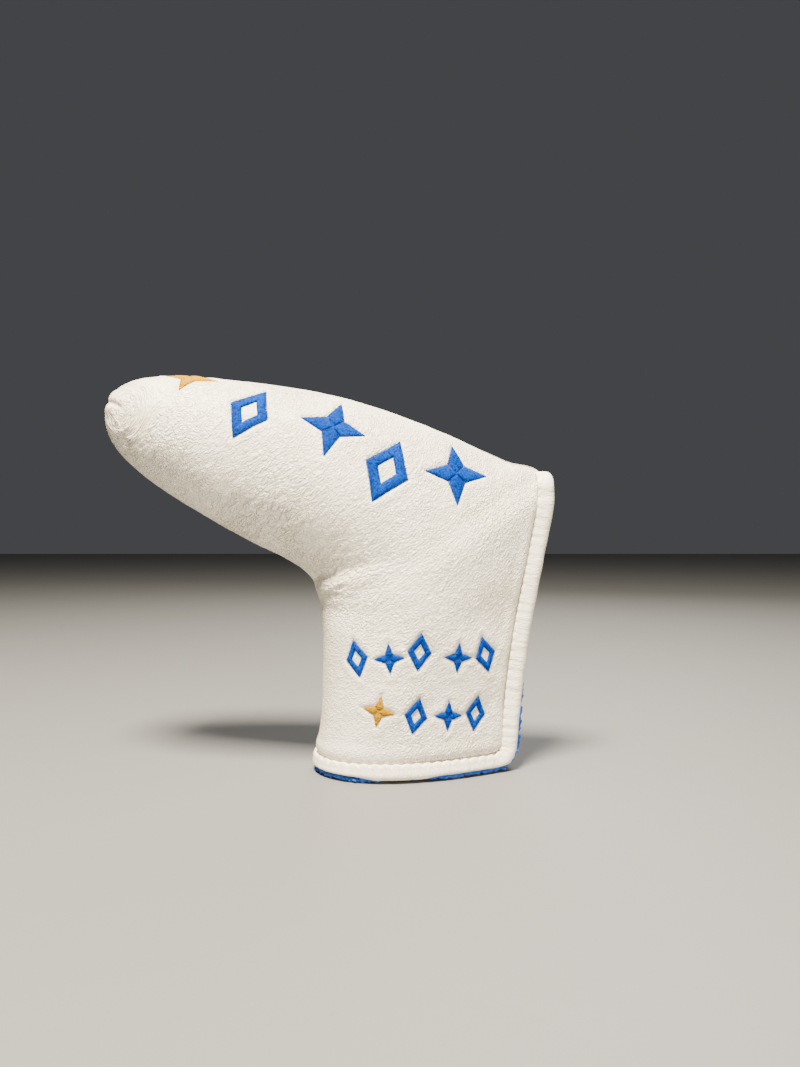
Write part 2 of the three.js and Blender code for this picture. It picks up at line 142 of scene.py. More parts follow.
def skin(s, turn, depth):
    """Points of the front half, depth under its outer surface. s runs from the tip (0) to the hem (LAST), and
    turn from the seam (0) to the fold or the heel edge (pi)."""
    s, turn, depth = np.broadcast_arrays(*(np.asarray(v, float) for v in (s, turn, depth)))
    wall = depth * (1 - EDGE_SQUEEZE * smooth(LAST - 1.6, LAST, s))
    fold = np.clip(along(s, FOLD), 0, 1)
    inner = end_point(s, INNER) + inward(s, INNER) * wall[..., None]
    outer = end_point(s, OUTER) + inward(s, OUTER) * (wall * fold)[..., None]
    share = (1 - np.cos(turn)) / 2
    x = inner[..., 0] + (outer[..., 0] - inner[..., 0]) * share
    z = inner[..., 1] + (outer[..., 1] - inner[..., 1]) * share

    into_corner = np.maximum(0, HEM_CORNER - (1 - share) * (outer[..., 0] - inner[..., 0]))
    hem_line = inner[..., 1] + HEM_CORNER - np.sqrt(np.maximum(HEM_CORNER**2 - into_corner**2, 0))
    z = z + np.clip(s - (LAST - 1), 0, 1) * (hem_line - z)

    taper = np.maximum(along(s, TAPER), 0)
    peak = 2 * np.sqrt(1 / (2 + taper)) * ((1 + taper) / (2 + taper)) ** ((1 + taper) / 2)
    round_part = np.sin(turn) * np.abs(np.cos(turn / 2)) ** taper / peak
    bulge = along(s, BULGE) * (1 - wall / FULL_BULGE)
    edge = np.maximum(np.maximum(along(s, EDGE), 0) - depth * (1 - EDGE_SQUEEZE), 0) * share**2
    return np.stack([x, -(bulge * round_part + edge), z], axis=-1)


def evenly(step, low=0.0, high=float(LAST)):
    """Values of s from low to high, with neither end of a rib moving further than step from one to the next."""
    fine = np.linspace(low, high, 4001)
    ends = np.stack([end_point(fine, INNER), end_point(fine, OUTER)])
    travel = np.linalg.norm(np.diff(ends, axis=1), axis=2).max(axis=0)
    total = np.concatenate([[0], np.cumsum(travel)])
    return np.interp(np.linspace(0, total[-1], int(total[-1] / step) + 1), total, fine)


def grid_normals(p):
    """Outward normals of a grid of front points whose rows run along s and whose columns run along turn."""
    return unit(np.cross(np.gradient(p, axis=0), np.gradient(p, axis=1)))


# -------------------- smooth noise
def lattice(i, seed):
    """A fixed pseudo-random number from -1 to 1 for each whole-number point."""
    n = i[..., 0] * 374761393 + i[..., 1] * 668265263 + i[..., 2] * 2147483647 + seed * 1274126177
    n = (n ^ (n >> 13)) & 0x7FFFFFFF
    n = (n * 1103515245 + 12345) & 0x7FFFFFFF
    n = ((n ^ (n >> 11)) * 1103515245 + 12345) & 0x7FFFFFFF
    return n / 0x3FFFFFFF - 1


def value_noise(p, seed):
    """Smooth noise from -1 to 1, with one value for each whole-number point."""
    i = np.floor(p).astype(np.int64)
    f = p - i
    f = f * f * f * (f * (f * 6 - 15) + 10)
    total = 0
    for corner in np.ndindex(2, 2, 2):
        c = np.array(corner)
        total = total + lattice(i + c, seed) * np.prod(np.where(c, f, 1 - f), axis=-1)
    return total


def fractal(p, octaves, seed):
    return sum(value_noise(p * 2**k, seed + k) / 2**k for k in range(octaves))


# -------------------- making meshes
def new_object(name, vertices, faces, material, grain=None, drawn=None):
    """A mesh object from vertices in millimetres. Its rest positions go with it, so that patterns stay put when
    a piece bends, and if it is leather its grain's coordinates and how drawn out the grain is."""
    mesh = bpy.data.meshes.new(name)
    mesh.from_pydata((np.asarray(vertices) * MM).tolist(), [], faces)
    mesh.update()
    mesh.polygons.foreach_set("use_smooth", [True] * len(mesh.polygons))
    layers = (("rest", "FLOAT_VECTOR", "vector", vertices), ("grain", "FLOAT_VECTOR", "vector", grain))
    for attribute, kind, field, values in (*layers, ("drawn", "FLOAT", "value", drawn)):
        if values is not None:
            layer = mesh.attributes.new(attribute, kind, "POINT")
            layer.data.foreach_set(field, np.asarray(values, np.float32).ravel())
    mesh.materials.append(material)
    obj = bpy.data.objects.new(name, mesh)
    bpy.context.scene.collection.objects.link(obj)
    return obj


def quads(rows, columns, closed=False, flip=False, start=0):
    """Faces of a grid of vertices. A closed grid joins its last column to its first."""
    i, j = np.meshgrid(np.arange(rows - 1), np.arange(columns if closed else columns - 1), indexing="ij")
    k = (j + 1) % columns
    face = np.stack([i * columns + j, (i + 1) * columns + j, (i + 1) * columns + k, i * columns + k], axis=-1)
    face = face.reshape(-1, 4) + start
    return (face[:, ::-1] if flip else face).tolist()


def shell_mesh(outer, inner, flip):
    """Vertices and faces of a closed plate between two grids of the same size."""
    rows, columns = outer.shape[:2]
    count = rows * columns
    faces = quads(rows, columns, flip=flip) + quads(rows, columns, flip=not flip, start=count)
    edge = [(0, j) for j in range(columns)] + [(i, columns - 1) for i in range(1, rows)]
    edge += [(rows - 1, j) for j in range(columns - 2, -1, -1)] + [(i, 0) for i in range(rows - 2, 0, -1)]
    ring = [i * columns + j for i, j in edge]
    for a, b in zip(ring, ring[1:] + ring[:1]):
        side = (a, b, b + count, a + count)
        faces.append(side if not flip else side[::-1])
    return np.concatenate([outer.reshape(-1, 3), inner.reshape(-1, 3)]), faces


MIRROR = np.array([1, -1, 1])


def mirror_for(side, p):
    """Front points moved to the given side."""
    return p if side == "front" else p * MIRROR


def circle(sides):
    """Cosines and sines of the corners of a round section, as columns."""
    around = np.arange(sides)[:, None] * 2 * np.pi / sides
    return np.cos(around), np.sin(around)


# -------------------- the embroidery
# The name of the CAD node: kind, x, z, tilt in degrees, size, thread.
FIGURES = {
    "toe_star_gold": ("star", -48.5, 138.2, -20, 10.0, "gold"),
    "toe_lozenge_1": ("lozenge", -25.8, 124.6, -28, 11.0, "blue"),
    "toe_star_1": ("star", 2.1, 119.4, -18, 11.5, "blue"),
    "toe_lozenge_2": ("lozenge", 20.6, 104.3, -26, 12.0, "blue"),
    "toe_star_2": ("star", 44.0, 104.0, -4, 11.5, "blue"),
    "leg_lozenge_1": ("lozenge", 9.8, 42.0, 12, 6.5, "blue"),
    "leg_star_1": ("star", 20.6, 42.4, 4, 5.3, "blue"),
    "leg_lozenge_2": ("lozenge", 31.0, 44.4, -6, 6.5, "blue"),
    "leg_star_2": ("star", 43.8, 41.6, -4, 5.3, "blue"),
    "leg_lozenge_3": ("lozenge", 54.0, 42.0, 14, 6.5, "blue"),
    "leg_star_gold": ("star", 17.8, 24.0, -10, 5.6, "gold"),
    "leg_lozenge_4": ("lozenge", 30.2, 22.4, -12, 6.2, "blue"),
    "leg_star_3": ("star", 40.6, 22.0, -4, 5.3, "blue"),
    "leg_lozenge_5": ("lozenge", 50.8, 20.9, -8, 6.2, "blue"),
}
# Shares of a figure's size:
LOZENGE_WIDTH, HOLE_WIDTH, HOLE_HEIGHT = 0.66, 0.28, 0.43
STAR_WAIST = 0.4


def lozenge_corners(w, h):
    return np.array([(0, h), (-w, 0), (0, -h), (w, 0)], float)


def star_corners(size):
    angles = np.pi / 2 + np.arange(8) * np.pi / 4
    reach = np.where(np.arange(8) % 2, STAR_WAIST * size, size)
    return np.stack([reach * np.cos(angles), reach * np.sin(angles)], axis=-1)


def strokes(kind, size):
    """The strokes of a figure. Each has two edges, as pairs of points, with the threads running across."""
    if kind == "lozenge":
        out = lozenge_corners(LOZENGE_WIDTH * size, size)
        hole = lozenge_corners(HOLE_WIDTH * size, HOLE_HEIGHT * size)
        return [((out[i], out[(i + 1) % 4]), (hole[i], hole[(i + 1) % 4])) for i in range(4)]
    c = star_corners(size)
    zero = np.zeros(2)
    arms = []
    for tip in (0, 2, 4, 6):
        left, right = c[(tip + 1) % 8], c[(tip - 1) % 8]
        arms.append(((left, c[tip]), (right, c[tip])))
        arms.append(((left, zero), (right, zero)))
    return arms


def outline_of(kind, size):
    return star_corners(size) if kind == "star" else lozenge_corners(LOZENGE_WIDTH * size, size)


def signed_distance(p, polygon):
    """Distance from 2-D points to a polygon, negative inside."""
    distance = np.full(p.shape[:-1], np.inf)
    inside = np.zeros(p.shape[:-1], bool)
    for a, b in zip(polygon, np.roll(polygon, -1, axis=0)):
        ab = b - a
        t = np.clip(((p - a) @ ab) / (ab @ ab), 0, 1)
        distance = np.minimum(distance, np.linalg.norm(p - a - t[..., None] * ab, axis=-1))
        crosses = (a[1] > p[..., 1]) != (b[1] > p[..., 1])
        with np.errstate(divide="ignore", invalid="ignore"):
            at = a[0] + (p[..., 1] - a[1]) * ab[0] / ab[1]
        inside ^= crosses & (p[..., 0] < at)
    return np.where(inside, -distance, distance)


# -------------------- the padding's swell
SWELL_STEP = 2.6
SWELL_COLUMNS = 27
SWELL_DEPTH = 0.8  # the sheet starts this far under the skin, and swells out to it
SWELL_MOST = 1.3
SLACK = 0.004  # extra length of leather between its seams, as a share
PRESS_FRAMES = 20


@cache
def swollen_sheet():
    """The leather as one sheet of cloth pressed outwards by the padding, with its seams and bound edges held.
    Gives the rows' s, the columns' turn, and how far the sheet moved on each side."""
    s = evenly(SWELL_STEP, 0.35)
    turn = np.linspace(0, np.pi, SWELL_COLUMNS)
    half = skin(s[:, None], turn[None], SWELL_DEPTH)
    joined = closed_at(s)
    half[:, 0, 1] = 0
    half[joined, -1, 1] = 0
    start = np.stack([half, half * MIRROR])
    number = np.arange(start[..., 0].size).reshape(start.shape[:3])
    number[1, :, 0] = number[0, :, 0]
    number[1, joined, -1] = number[0, joined, -1]
    moved = np.zeros_like(start)
    sheet = [number[:, :-1, :-1], number[:, 1:, :-1], number[:, 1:, 1:], number[:, :-1, 1:]]
    faces = np.stack(sheet, axis=-1).reshape(2, -1, 4)
    held = np.zeros(number.shape, bool)
    held[:, [0, -1]] = held[:, :, 0] = held[:, ~joined, -1] = True
    faces = faces[0].tolist() + faces[1, :, ::-1].tolist()
    moved = press_out(start.reshape(-1, 3), faces, np.unique(number[held]))[number] - start
    moved[1] *= MIRROR
    far = np.linalg.norm(moved, axis=-1, keepdims=True)
    moved *= SWELL_MOST * np.tanh(far / SWELL_MOST) / np.maximum(far, 1e-9)
    moved = np.stack([calm(grid) for grid in moved])
    return {"s": s, "turn": turn, "front": moved[0], "back": moved[1]}


def press_out(points, faces, held):
    """Points of a cloth sheet after its inside has pressed on it for a while."""
    mesh = bpy.data.meshes.new("pressed_sheet")
    mesh.from_pydata((points * MM).tolist(), [], faces)
    mesh.update()
    sheet = bpy.data.objects.new("pressed_sheet", mesh)
    bpy.context.scene.collection.objects.link(sheet)
    sheet.vertex_groups.new(name="held").add(held.tolist(), 1.0, "REPLACE")
    cloth = sheet.modifiers.new("cloth", "CLOTH")
    settings = cloth.settings
    settings.quality, settings.mass = 6, 0.3
    settings.tension_stiffness = settings.compression_stiffness = 15
    settings.shear_stiffness, settings.bending_stiffness = 5, 5.0
    settings.use_pressure, settings.uniform_pressure_force = True, 6.0
    settings.shrink_min = settings.shrink_max = -SLACK
    settings.effector_weights.gravity = 0
    settings.vertex_group_mass = "held"
    cloth.point_cache.frame_start, cloth.point_cache.frame_end = 1, PRESS_FRAMES
    for frame_number in range(1, PRESS_FRAMES + 1):
        bpy.context.scene.frame_set(frame_number)
    done = sheet.evaluated_get(bpy.context.evaluated_depsgraph_get()).data
    after = np.empty(3 * len(done.vertices))
    done.vertices.foreach_get("co", after)
    bpy.data.objects.remove(sheet)
    bpy.data.meshes.remove(mesh)
    bpy.context.scene.frame_set(1)
    return after.reshape(-1, 3) / MM


def calm(grid):
    """A grid of vectors averaged over its neighbours both ways, with its edges held."""
    for _ in range(2):
        grid = soften(grid.reshape(len(grid), -1), 2, ends=True).reshape(grid.shape)
        grid = np.swapaxes(grid, 0, 1)
    return grid


def resample(values, at):
    """A grid of points at fractional rows."""
    i = np.clip(np.floor(at).astype(int), 0, len(values) - 2)
    around = (values[np.clip(i + k, 0, len(values) - 1)] for k in (-1, 0, 1, 2))
    return spline(*around, (at - i)[:, None, None])


def swell_at(side, s, turn):
    """How far the padding moves the leather at a grid of rows s and columns turn."""
    sheet = swollen_sheet()
    rows = np.interp(s, sheet["s"], np.arange(len(sheet["s"])))
    columns = np.interp(turn, sheet["turn"], np.arange(SWELL_COLUMNS))
    return np.swapaxes(resample(np.swapaxes(resample(sheet[side], rows), 0, 1), columns), 0, 1)


# -------------------- the leather
LEATHER_STEP = 0.4
LEATHER_THICKNESS = 1.0
LEATHER_WIDTH = 24 * math.pi  # about the widest row of the leather
COARSER = 4  # the leather's inner face has one row and one column for this many of the outer face's
DART_END = np.array([-70.0, -14.0, 126.4])  # where the dart at the tip ends on the front
# Creases that fan out from the inside of the bend: points of each line as x, z, then its depth, and how far its
# slopes reach above and below it.
BEND_CREASES = [
    ([(-9.0, 66.4), (-2.0, 68.9), (5.0, 71.0), (12.0, 72.8), (26.0, 76.5)], 2.7, 4.6, 1.7),
    ([(-6.6, 62.6), (0.5, 63.0), (8.0, 63.6)], 0.5, 1.2, 1.6),
    ([(-5.6, 58.6), (2.0, 57.4), (12.0, 56.6), (27.0, 57.5)], 1.0, 3.6, 2.6),
]
TOE_CLEFT = [(-80.5, 130.4), (-78.4, 130.0), (-76.0, 129.3), (-73.2, 128.2), (-70.2, 126.4)]
GRAIN_CENTRE = np.array([-45.0, 150.0])  # x and z of the point that the grain's wrinkles turn round


def line_distance(x, z, points):
    """Signed distance from a line of x, z points, and how far along it, from 0 to 1."""
    best = np.full(x.shape, np.inf)
    signed, share = np.zeros(x.shape), np.zeros(x.shape)
    lengths = [math.dist(a, b) for a, b in zip(points, points[1:])]
    before = 0.0
    for (ax, az), (bx, bz), length in zip(points, points[1:], lengths):
        ux, uz = (bx - ax) / length, (bz - az) / length
        t = np.clip((x - ax) * ux + (z - az) * uz, 0, length)
        off_x, off_z = x - ax - t * ux, z - az - t * uz
        far = np.hypot(off_x, off_z)
        nearer = far < best
        best = np.where(nearer, far, best)
        signed = np.where(nearer, far * np.sign(ux * off_z - uz * off_x), signed)
        share = np.where(nearer, (before + t) / sum(lengths), share)
        before += length
    return signed, share


def crease_sink(p):
    """How far the whole wall is pushed in along the creases of the bend, for a grid of points on the front."""
    x, z = p[..., 0], p[..., 2]
    total = np.zeros_like(x)
    for points, depth, above, below in BEND_CREASES:
        off, share = line_distance(x, z, points)
        reach = np.where(off > 0, above, below) * (1 + 0.5 * share)
        round_off = 0.2 + 1.8 * share
        valley = np.exp(-(np.sqrt(off**2 + round_off**2) - round_off) / reach)
        total += depth * (1 - share) ** 0.95 * (valley - 0.25 * bump(off, -2.6 * below, 1.5 * below))
    return total * (0.04 + 0.96 * smooth(0, 5.5, distance_along(p)))


def distance_along(p):
    """How far each point of a grid is from the seam, along its row."""
    steps = np.linalg.norm(np.diff(p, axis=1), axis=-1)
    return np.concatenate([np.zeros((len(p), 1)), np.cumsum(steps, axis=1)], axis=1)


def toe_relief(p):
    """The cleft at the tip where the seam's dart ends, between two puffed lips."""
    off, share = line_distance(p[..., 0], p[..., 2], TOE_CLEFT)
    groove = (0.4 + 0.5 * smooth(0.22, 0.5, share)) * smooth(1.0, 0.8, share) * bump(off, 0, 0.85)
    lips = 0.4 * bump(off, 2.2, 1.6) + 0.4 * bump(off, -2.2, 1.8)
    return smooth(-0.3, 0.4, share) * smooth(1, 0.6, share) * lips - groove


@cache
def figure_frame(x, z, tilt):
    """Where a figure sits on the front: its centre, the normal there, and its own right and up directions."""
    p = skin(np.linspace(1, LAST - 0.5, 140)[:, None], np.linspace(0.15, np.pi - 0.05, 120)[None], 0)
    i, j = np.unravel_index(np.argmin((p[..., 0] - x) ** 2 + (p[..., 2] - z) ** 2), p.shape[:2])
    normal = grid_normals(p)[i, j]
    up = np.array([0, 0, 1.0])
    up = unit(up - normal * (up @ normal))
    right = np.cross(up, normal)
    cos, sin = math.cos(math.radians(tilt)), math.sin(math.radians(tilt))
    return p[i, j], normal, cos * right + sin * up, cos * up - sin * right


def stitched_relief(p):
    """The leather sinks where thread pulls it down, and swells a little round each figure."""
    total = np.zeros(p.shape[:-1])
    for kind, x, z, tilt, size, _ in FIGURES.values():
        centre, _, right, up = figure_frame(x, z, tilt)
        local = p - centre
        near = np.linalg.norm(local, axis=-1) < 1.8 * size
        flat = np.stack([local[near] @ right, local[near] @ up], axis=-1)
        distance = signed_distance(flat, outline_of(kind, size))
        total[near] += -0.4 * smooth(0.9, -0.2, distance) + 0.15 * bump(distance, 2.0, 1.0)
    return total


def from_dart(p):
    """The distance from the end of the dart, on whichever side a point lies."""
    on_front = np.stack([p[..., 0], -np.abs(p[..., 1]), p[..., 2]], axis=-1)
    return np.linalg.norm(on_front - DART_END, axis=-1)


def grain_coordinates(p):
    """The wrinkles run along lines of equal first coordinate: arcs round the end of the dart, and farther away
    round a point over the toe. The other two coordinates change slowly along a wrinkle."""
    start = DART_END[[0, 2]]
    line = GRAIN_CENTRE - start
    flat = p[..., [0, 2]]
    t = np.clip(((flat - start) @ line) / (line @ line), 0, 1)
    y = np.abs(p[..., 1])
    far = np.linalg.norm(flat - start - t[..., None] * line, axis=-1) - 0.5 * (y + DART_END[1])
    near = from_dart(p)
    across = near + (far - near) * smooth(8, 30, near)
    return np.stack([across, flat[..., 0] + 0.7 * y, flat[..., 1] - 0.7 * y], axis=-1)


def drawn_grain(p):
    """How drawn out the grain is: -1 where it is all but smooth, on the leg beside the spine and at the end of
    the dart, 0 where it is evenly pebbled, 1 in wrinkles, and 2 in long arcs round the dart."""
    to_dart = from_dart(p)
    at_dart = 1 - smooth(9, 24, to_dart)
    under_toe = bump(np.hypot(p[..., 0] + 24, p[..., 2] - 92), 0, 30)
    at_bend = bump(np.hypot(p[..., 0] - 12, p[..., 2] - 74), 0, 22)
    wrinkled = np.maximum.reduce([at_dart, under_toe, at_bend]) + 0.35 * value_noise(p / 17, 64)
    beside_spine = (1 - smooth(6, 36, p[..., 0])) * (1 - smooth(48, 66, p[..., 2]))
    smoothed = 1.1 * beside_spine + 2.3 * bump(to_dart, 0, 5.5)
    return np.clip(wrinkled, 0.05, 1) + 1 - smooth(8, 22, to_dart) - smoothed


def grain_relief(p):
    """Soft wrinkles, which are deeper where the grain is drawn out."""
    g = grain_coordinates(p) + 1.2 * np.stack([value_noise(p / 12, seed) for seed in (51, 52, 53)], axis=-1)
    wrinkles = value_noise(g * np.array([0.62, 0.2, 0.2]), 61)
    wrinkles = wrinkles + 0.5 * value_noise(g * np.array([0.95, 0.4, 0.4]), 62)
    return (0.035 + 0.065 * np.clip(drawn_grain(p), -0.3, 1)) * wrinkles


def leather_relief(s, p, embroidered):
    """How far the leather stands out from its plain form. p is on the front, wherever the relief is used."""
    from_seam = distance_along(p)
    from_outer = from_seam[:, -1:] - from_seam
    rows = np.linalg.norm(np.diff(p, axis=0), axis=-1)
    from_hem = np.concatenate([np.cumsum(rows[::-1], axis=0)[::-1], np.zeros((1, p.shape[1]))], axis=0)
    from_heel = from_outer + 40 * np.maximum(HEEL_EDGE_FROM - s, 0)
    from_edge = np.minimum(from_hem, from_heel)

    puckers = 0.1 * (1 + 0.6 * value_noise(p / 3.3, 5))
    seam = (puckers * bump(from_seam, 3.0, 1.8) - 0.6 * bump(from_seam, 0, 0.8)) * smooth(0.5, 3, s)
    soft = 0.22 * fractal(p / 19, 2, 11)
    edge = 0.4 * bump(from_edge, 4.6, 2.2) - 0.9 * bump(from_edge, 0.9, 1.1)
    grain = grain_relief(p) * (1 + 2.8 * bump(from_seam, 15, 9)) * smooth(-1, 5, from_seam)
    relief = seam + toe_relief(p) - crease_sink(p) + edge + (soft + grain) * smooth(0.3, 3, from_edge)
    return relief + stitched_relief(p) if embroidered else relief


def leather_rows():
    """s for each row of the leather's outer face."""
    s = evenly(LEATHER_STEP, 0.04)
    count = COARSER * (len(s) // COARSER) + 1
    return np.interp(np.linspace(0, len(s) - 1, count), np.arange(len(s)), s)


def leather_normals(s, p):
    """Outward normals of a grid of front points. Where the two sides join they lie in the middle plane."""
    normals = grid_normals(p)
    normals[:, 0] = -np.insert(inward(s, INNER), 1, 0, axis=-1)
    joined = closed_at(s)
    normals[joined, -1] = -np.insert(inward(s[joined], OUTER), 1, 0, axis=-1)
    return normals


def leather_grid(side):
    """The outer surface of one half, as on the front: rows along the cover, columns from the seam outwards."""
    s = leather_rows()
    turn = np.linspace(0, np.pi, COARSER * int(LEATHER_WIDTH / LEATHER_STEP / COARSER) + 1)
    p = skin(s[:, None], turn[None], 0) + swell_at(side, s, turn)
    p[..., 1] *= 1 - (1 - smooth(*FOLD_OPENS, s))[:, None] * smooth(np.pi - 0.3, np.pi, turn)[None]
    p[:, 0, 1] = 0
    normals = leather_normals(s, p)
    relief = leather_relief(s[:, None], p, True)
    if side == "back":
        plain = leather_relief(s[:, None], p * MIRROR, False)
        near_front = np.maximum(smooth(2.9, 3.12, turn), smooth(0.25, 0.02, turn))
        relief = plain + (relief - plain) * near_front[None]
    return p + normals * relief[..., None]


def make_leather(side, outer, material):
    """The leather of one side: a fine outer face, and a coarse inner face that closes it to a solid."""
    rows, columns = outer.shape[:2]
    flip = side == "back"
    inner = (outer - leather_normals(leather_rows(), outer) * LEATHER_THICKNESS)[::COARSER, ::COARSER]
    inner[..., 1] = np.minimum(inner[..., 1], -0.03)
    inner_rows, inner_columns = inner.shape[:2]
    start = rows * columns
    faces = quads(rows, columns, flip=flip) + quads(inner_rows, inner_columns, flip=not flip, start=start)

    def rim(i, j, di, dj, count):
        """Faces from one side of the outer grid to the same side of the inner one."""
        for _ in range(count):
            fine = [(i + di * k) * columns + j + dj * k for k in range(COARSER + 1)]
            a = start + (i // COARSER) * inner_columns + j // COARSER
            face = fine + [a + di * inner_columns + dj, a]
            faces.append(face[::-1] if flip else face)
            i, j = i + COARSER * di, j + COARSER * dj

    rim(0, 0, 0, 1, inner_columns - 1)
    rim(0, columns - 1, 1, 0, inner_rows - 1)
    rim(rows - 1, columns - 1, 0, -1, inner_columns - 1)
    rim(rows - 1, 0, -1, 0, inner_rows - 1)
    vertices = mirror_for(side, np.concatenate([outer.reshape(-1, 3), inner.reshape(-1, 3)]))
    grain, drawn = grain_coordinates(vertices), drawn_grain(vertices)
    return new_object(f"{side}_leather", vertices, faces, material, grain, drawn)


# -------------------- padding and lining
PADDING_STEP, LINING_STEP = 2.5, 2.0
LAYER_WIDTH = 70  # about the widest row of these layers


def plate(side, depths, step):
    """Vertices and faces of a layer between two depths under the skin."""
    s = evenly(step, 0.3)[:, None]
    turn = np.linspace(0, np.pi, int(LAYER_WIDTH / step))[None]
    grids = [skin(s, turn, depth) for depth in depths]
    grids = [mirror_for(side, p - grid_normals(p) * crease_sink(p)[..., None]) for p in grids]
    return shell_mesh(*grids, flip=side == "back")


PILE_STEP = 1.15
PILE_DEPTH = 4.3  # the tufts are rooted this far under the skin
PILE_LENGTHS, PILE_WIDTHS = (1.5, 2.3), (0.5, 0.72)
EDGE_PILE_LENGTHS, EDGE_PILE_WIDTHS = (1.4, 2.6), (0.42, 0.66)
EDGE_PILE_STEP = 0.62
LOWEST_TUFT = 0.35  # a tuft that would reach under this height is made shorter
EDGE_PILE_ROWS = (1.3, 0.5, -0.4, -1.2, -1.9)  # how far over the middle of the wall each row is
TUFT_SIDES = 5
TUFT_RINGS = ((0.0, 0.75), (0.35, 1.0), (0.72, 0.9), (1.0, 0.5))  # share of the length, share of the width


def tuft_mesh(roots, directions, lengths, widths, rng):
    """Vertices and faces of short blunt tufts of pile, each bending a little."""
    n = len(roots)
    directions = unit(directions)
    helper = np.where(np.abs(directions[:, :1]) < 0.9, [[1.0, 0, 0]], [[0, 1.0, 0]])
    u = unit(np.cross(directions, helper))
    v = np.cross(directions, u)
    bend = unit(rng.normal(size=(n, 3))) * 0.28
    cos, sin = circle(TUFT_SIDES)
    spoke = u[:, None] * cos + v[:, None] * sin
    rings = []
    for share, width in TUFT_RINGS:
        centre = roots + directions * (share * lengths)[:, None] + bend * (share**2 * lengths)[:, None]
        rings.append(centre[:, None] + spoke * (width * widths)[:, None, None])
    points = np.stack(rings, axis=1)  # tuft, ring, side
    per = len(TUFT_RINGS) * TUFT_SIDES
    i, k = np.meshgrid(np.arange(len(TUFT_RINGS) - 1), np.arange(TUFT_SIDES), indexing="ij")
    low, high, after = i * TUFT_SIDES, (i + 1) * TUFT_SIDES, (k + 1) % TUFT_SIDES
    one = np.stack([low + k, low + after, high + after, high + k], axis=-1).reshape(-1, 4)
    first = np.arange(n)[:, None] * per
    faces = (one[None] + first[..., None]).reshape(-1, 4).tolist()
    faces += (first + np.arange(per - TUFT_SIDES, per)).tolist()
    faces += (first + np.arange(TUFT_SIDES)[::-1]).tolist()
    return points.reshape(-1, 3), faces


def lining_tufts(side, rng):
    """Tufts over the lining near the hem and the heel opening, and peeping out along them."""
    s = evenly(PILE_STEP, 9.0)[:, None]
    turn = np.linspace(0.03, np.pi - 0.02, 66)[None]
    p = skin(s, turn, PILE_DEPTH)
    inwards = -grid_normals(p)
    s, turn = np.broadcast_arrays(s, turn)
    keep = (s > 12.5) | ((turn > 1.9) & (s > 11.2))  # where it is seen through the openings
    roots = p[keep] + rng.normal(size=(keep.sum(), 3)) * 0.3
    directions = inwards[keep] + rng.normal(size=(keep.sum(), 3)) * 0.25
    lengths = rng.uniform(*PILE_LENGTHS, len(roots))
    widths = rng.uniform(*PILE_WIDTHS, len(roots))
    parts = [(roots, directions, lengths, widths)]

    for lift in EDGE_PILE_ROWS:
        u = np.arange(0.2, edge_path()["length"] - 6, EDGE_PILE_STEP)
        u = u + rng.uniform(-0.35, 0.35, len(u))
        o, out, across = path_at(u)
        keep = (o[:, 2] < HEM_TOP) | ((lift < 0) & (peep(o) > 0.05))
        shown = peep(o) * (0.8 + 0.3 * value_noise(np.stack([u / 2.3, 0 * u + lift, 0 * u], -1), 71))
        reach = 3.2 + (0.9 + 1.5 * smooth(5.0, 7.5, o[:, 2])) * shown
        root = o + out * reach[:, None] + across * (lift + rng.uniform(-0.3, 0.3, len(u)))[:, None]
        lie = np.cross(out, across)
        lie = lie * np.sign(lie[:, :1] + 0.7 * lie[:, 2:])  # the clumps lean toward the heel, and up it
        direction = lie + out * rng.uniform(0.05, 0.35, len(u))[:, None]
        direction = direction + across * rng.uniform(-0.25, 0.25, len(u))[:, None]
        length = rng.uniform(*EDGE_PILE_LENGTHS, len(u))
        width = rng.uniform(*EDGE_PILE_WIDTHS, len(u)) * (0.7 + 0.3 * shown)
        parts.append(tuple(x[keep] for x in (root, direction, length, width)))
    roots, directions, lengths, widths = (np.concatenate(x) for x in zip(*parts))
    low = roots[:, 2] + np.minimum(unit(directions)[:, 2], 0) * lengths
    shorter = np.clip((roots[:, 2] - LOWEST_TUFT) / np.maximum(roots[:, 2] - low, 1e-6), 0.2, 1)
    lengths = np.where(low < LOWEST_TUFT, lengths * shorter, lengths)
    points, faces = tuft_mesh(roots, directions, lengths, widths, rng)
    points[:, 1] = np.minimum(points[:, 1], -FACING_GAP)
    points[:, 2] = np.maximum(points[:, 2], GROUND_GAP)
    return mirror_for(side, points), faces


def peep(o):
    """How far the pile shows past the binding: most beside the spine and near the heel corner."""
    x, z = o[:, 0], o[:, 2]
    hem = np.maximum(np.maximum(1 - smooth(8, 22, x), 0.85 * smooth(26, 40, x)), 0.35)
    return np.where(z < HEM_TOP, hem, 0.8 * (1 - smooth(26, 34, z)))


def make_lining(side, material):
    base, faces = plate(side, LINING_DEPTHS, LINING_STEP)
    tufts, more = lining_tufts(side, np.random.default_rng(7 if side == "front" else 8))
    more = [tuple(i + len(base) for i in (f if side == "front" else f[::-1])) for f in more]
    return new_object(f"{side}_lining", np.concatenate([base, tufts]), faces + more, material)


def make_padding(side, material):
    return new_object(f"{side}_padding", *plate(side, PADDING_DEPTHS, PADDING_STEP), material)


# -------------------- the binding
STITCH_PITCH = 3.4
STITCH_AT = -1.3  # how far out from the wall's edge the stitches run
STITCH_HEIGHT = 2.2  # how high over the middle of the wall they lie
BINDING_STEP = 0.3
HEM_LIFT = 1.6  # the binding is this far off the ground where pile shows under it
